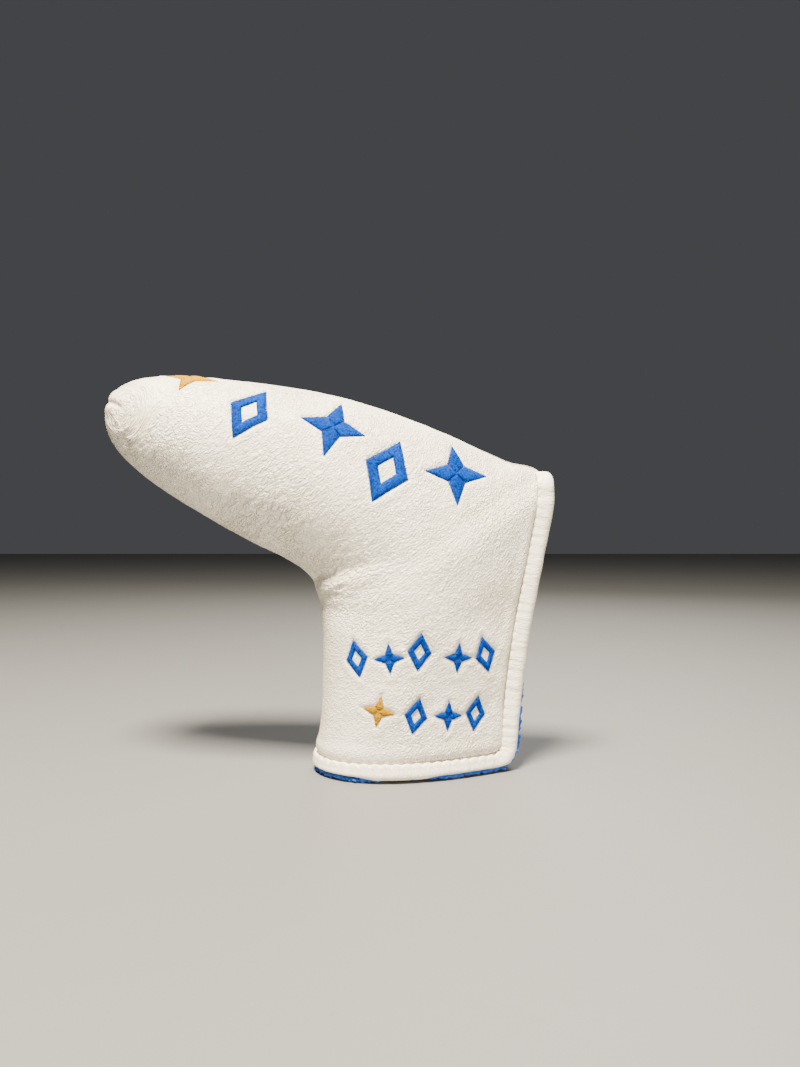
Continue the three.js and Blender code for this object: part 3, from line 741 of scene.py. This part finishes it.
# The binding's section: distance out from the wall's edge, and height over the middle of the wall.
BINDING_SECTION = np.array([
    (-1.1, 2.2), (-1.25, 2.55), (-1.2, 2.85), (-0.95, 3.08), (-0.55, 3.16), (-0.1, 3.18), (0.4, 3.15),
    (1.0, 3.12), (1.7, 3.15), (2.4, 3.12), (3.1, 3.0), (3.7, 2.72), (4.2, 2.3), (4.6, 1.75), (4.88, 1.1),
    (5.0, 0.4), (5.0, -0.4), (4.85, -1.15), (4.5, -1.8), (4.0, -2.28), (3.2, -2.6), (2.2, -2.7), (1.0, -2.72),
    (0.0, -2.72), (-0.8, -2.65), (-1.1, -2.3), (-1.1, 0.0),
])


def run_of(points):
    """How far it is along a line to each of its points."""
    return np.concatenate([[0], np.cumsum(np.linalg.norm(np.diff(points, axis=0), axis=1))])


def interpolate(u, at, values):
    return np.stack([np.interp(u, at, column) for column in values.T], axis=-1)


@cache
def edge_path():
    """The middle of the front wall's open edge, from the spine along the hem, up the heel and over its top, at
    even steps, with the directions out of the edge and across the wall."""

    def middle(s, turn):
        return (skin(s, turn, 0) + skin(s, turn, WALL)) / 2

    def across(s, turn):
        return unit(skin(s, turn, 0) - skin(s, turn, WALL))

    turns = np.linspace(0, np.pi, 120)
    ss = np.linspace(LAST - 0.05, HEEL_START - 0.02, 140)
    angles = np.linspace(0, np.pi / 2, 14)[1:]
    below, above = RIBS[HEEL_START], RIBS[HEEL_START - 1]
    slope = (above[2] - below[2]) / (above[3] - below[3])
    z = CAP_CENTRE + CAP_RADIUS * np.sin(angles)
    x = below[2] + slope * (z - below[3])
    cap = np.stack([x, -CAP_RADIUS * np.cos(angles), z], axis=-1)
    cap_across = np.stack([0 * x, -np.cos(angles), np.sin(angles)], axis=-1)
    origin = np.concatenate([middle(LAST, turns), middle(ss, np.pi), cap])
    normal = np.concatenate([across(LAST, turns), across(ss, np.pi), cap_across])
    origin[0, 1], normal[0] = 0, (-1, 0, 0)

    at = run_of(origin)
    u = np.linspace(0, at[-1], int(at[-1] / BINDING_STEP) + 1)
    origin = soften(interpolate(u, at, origin), 5, ends=True)
    normal = unit(soften(interpolate(u, at, normal), 7))
    tangent = np.gradient(origin, axis=0)
    tangent[0], tangent[-1] = (0, -1, 0), (0, 1, 0)
    tangent = unit(soften(tangent, 3, ends=True))
    out = unit(np.cross(tangent, normal))
    return {"origin": origin, "out": out, "across": np.cross(out, tangent), "u": u, "length": u[-1]}


def soften(values, radius, ends=False):
    """A moving average along the first axis, with the ends held."""
    weights = np.hanning(2 * radius + 3)[1:-1]
    weights /= weights.sum()
    before = 2 * values[:1] - values[radius:0:-1]
    after = 2 * values[-1:] - values[-2 : -radius - 2 : -1]
    padded = np.concatenate([before, values, after])
    result = np.stack([np.convolve(column, weights, "valid") for column in padded.T], axis=-1)
    if ends:
        result[0], result[-1] = values[0], values[-1]
    return result


def path_at(u):
    """The edge path's place, direction out of the edge and direction across the wall, at distances along it."""
    path = edge_path()
    return [interpolate(u, path["u"], path[key]) for key in ("origin", "out", "across")]


def from_hole(u):
    """How far along the path it is to the nearest stitch hole."""
    return np.abs((u / STITCH_PITCH + 0.5) % 1 - 0.5) * STITCH_PITCH


def make_binding(side, material):
    path = edge_path()
    u = path["u"]
    d = np.broadcast_to(BINDING_SECTION[:, 0], (len(u), len(BINDING_SECTION))).copy()
    n = np.broadcast_to(BINDING_SECTION[:, 1], d.shape).copy()
    outside = smooth(0.5, 2.0, n)
    pulled, pricked = (bump(from_hole(u), 0, reach)[:, None] for reach in (0.95, 0.42))
    lip = bump(d, -1.1, 0.7) * outside
    belly = bump(d, 1.6, 1.8) * outside
    scallop = np.where(path["origin"][:, 2:] < HEM_TOP, 0.42, 0.16)
    d += lip * scallop * (pulled - 0.38)
    n += belly * (0.08 - 0.1 * pulled) - lip * (0.14 * pulled + 0.24 * pricked)

    uu, vv = np.broadcast_arrays(u[:, None], run_of(BINDING_SECTION)[None])
    grain = np.stack([uu, vv, 0 * uu], axis=-1)
    fine = 0.06 * value_noise(grain * np.array([1.1, 0.2, 1]), 41)
    coarse = 0.09 * value_noise(grain * np.array([0.4, 0.1, 1]), 42)
    n += (fine + coarse) * np.sign(n) * smooth(-1.2, 0.6, d)
    d += (0.14 * value_noise(np.stack([u / 5.5, 0 * u, 0 * u], -1), 43))[:, None] * smooth(3, 5, d)
    origin, out, across = (path[key][:, None] for key in ("origin", "out", "across"))
    points = origin + out * d[..., None] + across * n[..., None]
    points[..., 2] += HEM_LIFT * (1 - smooth(0, 3.5, points[..., 2])) * peep(path["origin"])[:, None]
    points[0, :, 1] = points[-1, :, 1] = 0
    points[..., 1] = np.minimum(points[..., 1], 0)
    points[..., 2] = np.maximum(points[..., 2], GROUND_GAP)
    rows, count = d.shape
    faces = quads(rows, count, closed=True, flip=side == "front")
    caps = [list(range(count)), [(rows - 1) * count + k for k in range(count)][::-1]]
    faces += [c if side == "front" else c[::-1] for c in caps]
    vertices = mirror_for(side, points.reshape(-1, 3))
    grain = grain.reshape(-1, 3)
    return new_object(f"{side}_binding", vertices, faces, material, grain, np.full(len(grain), 0.7))


THREAD_SIDES = 6


def capsule(start, end, up, width, height, rings=7):
    """Points of one stitch, a flattened capsule, as rings by sides."""
    axis = end - start
    side = unit(np.cross(up, axis))
    t = (1 - np.cos(np.linspace(0, np.pi, rings))) / 2
    swell = np.clip(np.sin(np.linspace(0.12, np.pi - 0.12, rings)) ** 0.55, 0.2, 1)
    cos, sin = circle(THREAD_SIDES)
    centre = start + axis * t[:, None] + up * (0.16 * np.sin(np.pi * t) ** 0.7)[:, None]
    ring = side * cos * width + up * sin * height
    return centre[:, None] + ring[None] * swell[:, None, None]


def tubes(name, all_points, material):
    """One mesh from many tubes with the same numbers of rings and sides, closed at both ends."""
    points = np.asarray(all_points)
    n, rings, sides = points.shape[:3]
    one = quads(rings, sides, closed=True)
    one += [list(range(sides)), [(rings - 1) * sides + k for k in range(sides)][::-1]]
    faces = [[i + k * rings * sides for i in f] for k in range(n) for f in one]
    return new_object(name, points.reshape(-1, 3), faces, material)


def make_topstitch(side, material):
    """The sewing thread shows at each hole as a short slanted stitch beside the binding's lip. Its dark colour
    is painted shade for the slit there.
    """
    rng = np.random.default_rng(21)
    made = []
    for m in np.arange(STITCH_PITCH, edge_path()["length"] - 1, STITCH_PITCH):
        slant = rng.uniform(0.08, 0.16)
        ends = []
        for sign in (-1, 1):
            o, out, across = path_at(m + sign * rng.uniform(0.8, 1.0))
            ends.append(o + out * (STITCH_AT + sign * slant) + across * STITCH_HEIGHT)
        _, _, up = path_at(m)
        made.append(capsule(*ends, up, 0.15, 0.13))
    obj = tubes(f"{side}_topstitch", mirror_for(side, np.array(made)), material)
    if side == "back":
        obj.data.flip_normals()
    return obj


# -------------------- satin-stitch figures
THREAD_PITCH = 0.27
THREAD_WIDTH = 0.17
DROP, REACH = 14, 60  # a figure's points drop onto the leather from this far outside, and at most this far


def satin_threads(kind, size, rng):
    """Each thread of a figure as points in the figure's own plane, with its height over the leather."""
    threads = []
    for edge_a, edge_b in strokes(kind, size):
        length = np.linalg.norm((edge_a[1] + edge_b[1]) / 2 - (edge_a[0] + edge_b[0]) / 2)
        count = max(3, int(length / THREAD_PITCH))
        for k in range(count):
            f = (k + 0.5) / count
            a = edge_a[0] + (edge_a[1] - edge_a[0]) * f
            b = edge_b[0] + (edge_b[1] - edge_b[0]) * f
            width = np.linalg.norm(b - a)
            if width < 0.25:
                continue
            along_ab = (b - a) / width
            a = a - along_ab * rng.uniform(-0.02, 0.1)
            b = b + along_ab * rng.uniform(-0.02, 0.1)
            t = np.linspace(0, 1, 8)
            flat = a + (b - a) * t[:, None]
            rise = min(0.55, 0.15 + 0.12 * width)
            height = rise * np.sin(np.pi * t) ** 0.4 + rng.uniform(-0.05, 0.06)
            threads.append((flat, height))
    return threads


def make_figure(node, spec, surface, material):
    kind, x, z, tilt, size, _ = spec
    rng = np.random.default_rng(len(node) * 131 + int(abs(x) * 10))
    centre, normal, right, up = figure_frame(x, z, tilt)
    cos, sin = circle(THREAD_SIDES)
    made = []
    for flat, height in satin_threads(kind, size, rng):
        line, normals = [], []
        for a, b in flat:
            start = centre + right * a + up * b + normal * DROP
            hit, hit_normal, _, _ = surface.ray_cast(Vector(start), Vector(-normal), REACH)
            if hit is None:
                hit, hit_normal, _, _ = surface.find_nearest(Vector(start - normal * DROP))
            line.append(hit)
            normals.append(hit_normal)
        line, normals = np.array(line), unit(soften(np.array(normals), 2))
        line = line + normals * (height + 0.05)[:, None]
        axis = unit(np.gradient(line, axis=0))
        side = unit(np.cross(normals, axis))
        swell = np.array([0.55, 0.9, 1, 1, 1, 1, 0.9, 0.55])[:, None, None] * THREAD_WIDTH
        ring = side[:, None] * cos + normals[:, None] * sin * 0.8
        made.append(line[:, None] + ring * swell)
    return tubes(f"stitched_{node}", made, material)


# -------------------- materials
def material_nodes(name, **inputs):
    """A new node material: its node tree and its shader, with plain values set on the shader's sockets."""
    material = bpy.data.materials.new(name)
    material.use_nodes = True
    shader = material.node_tree.nodes["Principled BSDF"]
    for socket, value in inputs.items():
        shader.inputs[socket.replace("_", " ")].default_value = value
    return material, material.node_tree, shader


def add_node(tree, kind, inputs=None, **settings):
    node = tree.nodes.new(kind)
    for key, value in settings.items():
        setattr(node, key, value)
    for socket, value in (inputs or {}).items():
        if isinstance(value, bpy.types.NodeSocket):
            tree.links.new(value, node.inputs[socket])
        else:
            node.inputs[socket].default_value = value
    return node


def rest_coordinates(tree):
    """Rest position in millimetres, so that a pattern stays put when a piece bends."""
    return add_node(tree, "ShaderNodeAttribute", attribute_name="rest").outputs["Vector"]


def noise(tree, vector, scale, detail, roughness=0.5, output="Fac"):
    inputs = {"Vector": vector, "Scale": scale, "Detail": detail, "Roughness": roughness}
    return add_node(tree, "ShaderNodeTexNoise", inputs).outputs[output]


def maths(tree, operation, *values):
    """The result of a maths node, from numbers or other nodes' outputs."""
    return add_node(tree, "ShaderNodeMath", dict(enumerate(values)), operation=operation).outputs[0]


def vector_maths(tree, operation, inputs):
    return add_node(tree, "ShaderNodeVectorMath", inputs, operation=operation).outputs[0]


def set_bump(tree, shader, height, strength, distance):
    """Fine relief by bump, where a height of 1 stands for the distance in metres."""
    inputs = {"Height": height, "Strength": strength, "Distance": distance}
    tree.links.new(add_node(tree, "ShaderNodeBump", inputs).outputs["Normal"], shader.inputs["Normal"])


def ramp(tree, value, stops):
    """Colours that follow a value, through stops given as position and colour."""
    node = add_node(tree, "ShaderNodeValToRGB", {"Fac": value})
    elements = node.color_ramp.elements
    while len(elements) < len(stops):
        elements.new(0.5)
    for element, (position, colour) in zip(elements, stops):
        element.position = position
        element.color = colour if len(colour) == 4 else (*colour, 1)
    return node.outputs["Color"]


def grey(v):
    return (v, v, v, 1)


def mix(tree, factor, a, b, blend_type="MIX"):
    """A colour mix. Its colour sockets are the seventh and the eighth, and its result is the third output."""
    settings = {"data_type": "RGBA", "blend_type": blend_type}
    return add_node(tree, "ShaderNodeMix", {"Factor": factor, 6: a, 7: b}, **settings).outputs[2]


VALLEY = ((0.0, grey(0)), (0.045, grey(0.45)), (0.1, grey(0.85)), (0.18, grey(1)))  # a valley's section
WHITE_LIGHT, WHITE_DARK = np.array([0.84, 0.77, 0.64]), np.array([0.79, 0.72, 0.58])


def leather_material(name, painted_highlight_gain=1.0, depth=0.6):
    """White leather: fine wrinkles where the grain is drawn out and pebbles where it isn't, softly glossy."""
    gloss = {"Specular_IOR_Level": 0.6, "Coat_Weight": 0.12, "Coat_Roughness": 0.28}
    material, tree, shader = material_nodes(name, **gloss)
    where = rest_coordinates(tree)
    grain = add_node(tree, "ShaderNodeAttribute", attribute_name="grain").outputs["Vector"]
    drawn = add_node(tree, "ShaderNodeAttribute", attribute_name="drawn").outputs["Fac"]
    drift = noise(tree, where, 0.3, 1.0, output="Color")
    drift = vector_maths(tree, "SUBTRACT", {0: drift, 1: (0.5, 0.5, 0.5)})
    drift = vector_maths(tree, "SCALE", {0: drift, "Scale": 1.3})
    bent = vector_maths(tree, "ADD", {0: grain, 1: drift})

    def cells(scale, other, place=bent):
        """Rounded cells between two crossing sets of thin valleys, from 0 in a valley to 1."""
        made = []
        for vector, detail in ((scale, 0.6), (other, 1.0)):
            stretched = add_node(tree, "ShaderNodeMapping", {"Vector": place, "Scale": vector}).outputs[0]
            centred = maths(tree, "SUBTRACT", noise(tree, stretched, 1.0, detail), 0.5)
            made.append(ramp(tree, maths(tree, "ABSOLUTE", centred), VALLEY))
        return mix(tree, 1.0, *made, "MULTIPLY")

    wrinkled = cells((0.8, 0.2, 0.2), (0.6, 0.36, 0.36))
    pebbled = cells((0.95, 0.42, 0.42), (0.72, 0.66, 0.66))
    arcs = cells((0.95, 0.06, 0.06), (0.8, 0.12, 0.12), grain)
    in_arcs = maths(tree, "SUBTRACT", drawn, 1.0)
    shaped = mix(tree, in_arcs, mix(tree, drawn, pebbled, wrinkled), arcs)
    strength = ramp(tree, noise(tree, where, 0.06, 2.0), [(0.38, grey(0.65)), (0.6, grey(1))])
    strength = mix(tree, 1.0, strength, mix(tree, drawn, grey(0.8), grey(1)), "MULTIPLY")
    smoothed = maths(tree, "MULTIPLY", drawn, -1.0)
    strength = mix(tree, smoothed, strength, grey(0.3))
    height = mix(tree, 0.03, mix(tree, strength, grey(0.7), shaped), noise(tree, where, 3.4, 2.0))
    set_bump(tree, shader, height, 1.0, depth * MM)

    # painted highlight: a gain over 1 lightens the whole colour, standing in for the light that the binding's
    # rolled edge catches
    stops = [(0.35, tuple(WHITE_DARK * painted_highlight_gain)), (0.65, tuple(WHITE_LIGHT * painted_highlight_gain))]
    base = ramp(tree, noise(tree, where, 0.035, 4.0, 0.6), stops)
    # painted shade: where the grain's height is low, in its valleys, the base colour is darkened to stand in
    # for the shade that falls there
    painted_valley_shade = ramp(tree, height, [(0.1, (0.9, 0.87, 0.8)), (0.5, (1, 1, 1))])
    tree.links.new(mix(tree, 1.0, base, painted_valley_shade, "MULTIPLY"), shader.inputs["Base Color"])
    tree.links.new(ramp(tree, height, [(0.2, grey(0.46)), (0.9, grey(0.32))]), shader.inputs["Roughness"])
    return material


def fabric(name, shade, stops, relief, strength, distance, **inputs):
    """A thread or a fabric. Its shades and its relief follow noises, given as scale, detail and roughness."""
    material, tree, shader = material_nodes(name, **inputs)
    where = rest_coordinates(tree)
    tree.links.new(ramp(tree, noise(tree, where, *shade), stops), shader.inputs["Base Color"])
    set_bump(tree, shader, noise(tree, where, *relief), strength, distance)
    return material


def thread_material(name, dark, bright):
    stops, gloss = [(0.36, dark), (0.6, bright)], {"Roughness": 0.7, "Specular_IOR_Level": 0.05}
    return fabric(name, (1.9, 3.0, 0.7), stops, (9.0, 2.0, 0.5), 0.35, 0.00005, **gloss)


def plush_material():
    stops = [(0.3, (0.0, 0.035, 0.26)), (0.65, (0.001, 0.12, 0.66))]
    sheen = {"Roughness": 0.85, "Sheen_Weight": 0.25, "Sheen_Roughness": 0.4, "Specular_IOR_Level": 0.15}
    return fabric("plush", (0.9, 4.0, 0.7), stops, (4.0, 4.0, 0.75), 0.8, 0.0004, **sheen)


def wadding_material():
    stops, fibres = [(0.3, (0.55, 0.53, 0.47)), (0.7, (0.72, 0.70, 0.64))], (0.8, 6.0, 0.75)
    return fabric("wadding", fibres, stops, fibres, 0.7, 0.0005, Roughness=0.95, Sheen_Weight=0.3)


def nickel_material():
    material, tree, shader = material_nodes("nickel", Metallic=1.0, Specular_IOR_Level=0.5)
    scuffs = noise(tree, add_node(tree, "ShaderNodeTexCoord").outputs["Object"], 900.0, 4.0, 0.7)
    colour = ramp(tree, scuffs, [(0.3, (0.42, 0.42, 0.42)), (0.7, (0.6, 0.59, 0.57))])
    tree.links.new(colour, shader.inputs["Base Color"])
    gloss = ramp(tree, scuffs, [(0.3, grey(0.22)), (0.7, grey(0.38))])
    tree.links.new(gloss, shader.inputs["Roughness"])
    return material


# -------------------- putting it together
BEND_FROM, BEND_TO = -3, 6  # the bend starts and ends this far past the hinge line


def bend_line(side):
    """The start and the end of the bend between the cover and one flap."""
    joint = next(j for j in frame["joints"] if j["child"] == f"{side}_flap")
    pivot = Vector(joint["pos_m"])
    axis = Vector(joint["axis"])
    across = Vector((axis.z, 0, -axis.x)).normalized()
    if across.x < 0:
        across.negate()
    return pivot + across * BEND_FROM * MM, pivot + across * BEND_TO * MM


def fasten(obj, side, nodes):
    start, end = bend_line(side)
    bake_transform(obj)
    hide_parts(*nodes)


def build():
    leather = leather_material("leather")
    # painted highlight: the binding's leather is the body's leather with its colour raised 8%, standing in for
    # the light on its rolled, up-facing edge
    painted_highlight_strip = leather_material("binding_leather_painted_highlight", painted_highlight_gain=1.08, depth=0.14)
    plush, wadding = plush_material(), wadding_material()
    # painted shade: the sewing thread's colour is a dark grey-beige that stands in for the shadowed slit where
    # each stitch pulls the binding's lip; the real thread is as white as the leather
    sewing = thread_material("sewing_thread_painted_shade", (0.3, 0.27, 0.22), (0.46, 0.42, 0.35))
    threads = {
        "blue": thread_material("blue_thread", (0.0, 0.007, 0.06), (0.0, 0.05, 0.34)),
        "gold": thread_material("gold_thread", (0.22, 0.085, 0.0), (0.47, 0.26, 0.0)),
    }
    surface = {}
    for side in SIDES:
        grid = leather_grid(side)
        surface[side] = (mirror_for(side, grid.reshape(-1, 3)), quads(*grid.shape[:2], flip=side == "back"))
        shell = make_leather(side, grid, leather)
        fasten(shell, side, [f"{side}_leather_body", f"{side}_flap_leather"])

        pad = make_padding(side, wadding)
        fasten(pad, side, [f"{side}_padding_body", f"{side}_flap_padding"])

        pile = make_lining(side, plush)
        fasten(pile, side, [f"{side}_lining_body", f"{side}_flap_lining"])

        shared = ["spine", "heel_top"] if side == "front" else []
        edging = make_binding(side, painted_highlight_strip)
        fasten(edging, side, [f"{n}_binding" for n in (f"{side}_flap", *shared)])
        stitches = make_topstitch(side, sewing)
        fasten(stitches, side, [f"{n}_topstitch" for n in (f"{side}_flap", *shared)])

    (front, front_faces), (back, back_faces) = surface["front"], surface["back"]
    faces = front_faces + [[i + len(front) for i in f] for f in back_faces]
    tree = BVHTree.FromPolygons(np.concatenate([front, back]).tolist(), faces)
    for node, spec in FIGURES.items():
        figure = make_figure(node, spec, tree, threads[spec[-1]])
        fasten(figure, "front", [node])

    nickel = nickel_material()
    for name, node in frame["nodes"].items():
        if "magnet" in name:
            node.data.materials.clear()
            node.data.materials.append(nickel)


FLOOR_COLOUR = (0.155, 0.153, 0.149, 1)
LIT = Vector((0.0, 0.0, 0.07))  # the lights point at this place
LIGHTS = [  # name, place, size, power, colour
    ("key", (-0.08, -0.31, 0.8), 0.2, 52.5, (1, 0.915, 0.755)),
    ("fill", (0.3, -0.7, 0.16), 0.3, 5.0, (1, 0.95, 0.86)),
    ("rim", (0.2, 0.55, 0.5), 0.4, 4.0, (1, 0.97, 0.92)),
]
CAMERA_AT, LENS = (0.0245, -0.287, 0.0838), 27


def studio():
    floor_material, _, _ = material_nodes("floor", Roughness=0.6, Base_Color=FLOOR_COLOUR)
    bpy.ops.mesh.primitive_plane_add(size=1, location=(0, 0, 0))
    floor = bpy.context.object
    floor.name = "floor"
    floor.scale = (6, 6, 1)
    floor.data.materials.append(floor_material)

    world = bpy.data.worlds.new("studio")
    bpy.context.scene.world = world
    world.use_nodes = True
    background = world.node_tree.nodes["Background"].inputs
    background["Color"].default_value, background["Strength"].default_value = (0.9, 0.93, 1, 1), 0.07

    for name, place, size, power, colour in LIGHTS:
        light = bpy.data.lights.new(name, "AREA")
        light.energy, light.size, light.color = power, size, colour
        lamp = bpy.data.objects.new(name, light)
        bpy.context.scene.collection.objects.link(lamp)
        lamp.location = place
        lamp.rotation_euler = (LIT - Vector(place)).to_track_quat("-Z", "Y").to_euler()

    camera_data = bpy.data.cameras.new("camera")
    camera_data.lens, camera_data.sensor_width = LENS, 36
    camera = bpy.data.objects.new("camera", camera_data)
    bpy.context.scene.collection.objects.link(camera)
    camera.location = CAMERA_AT
    camera.rotation_euler = (math.radians(90), 0, 0)
    camera_data.clip_start = 0.01
    bpy.context.scene.camera = camera


studio()
build()
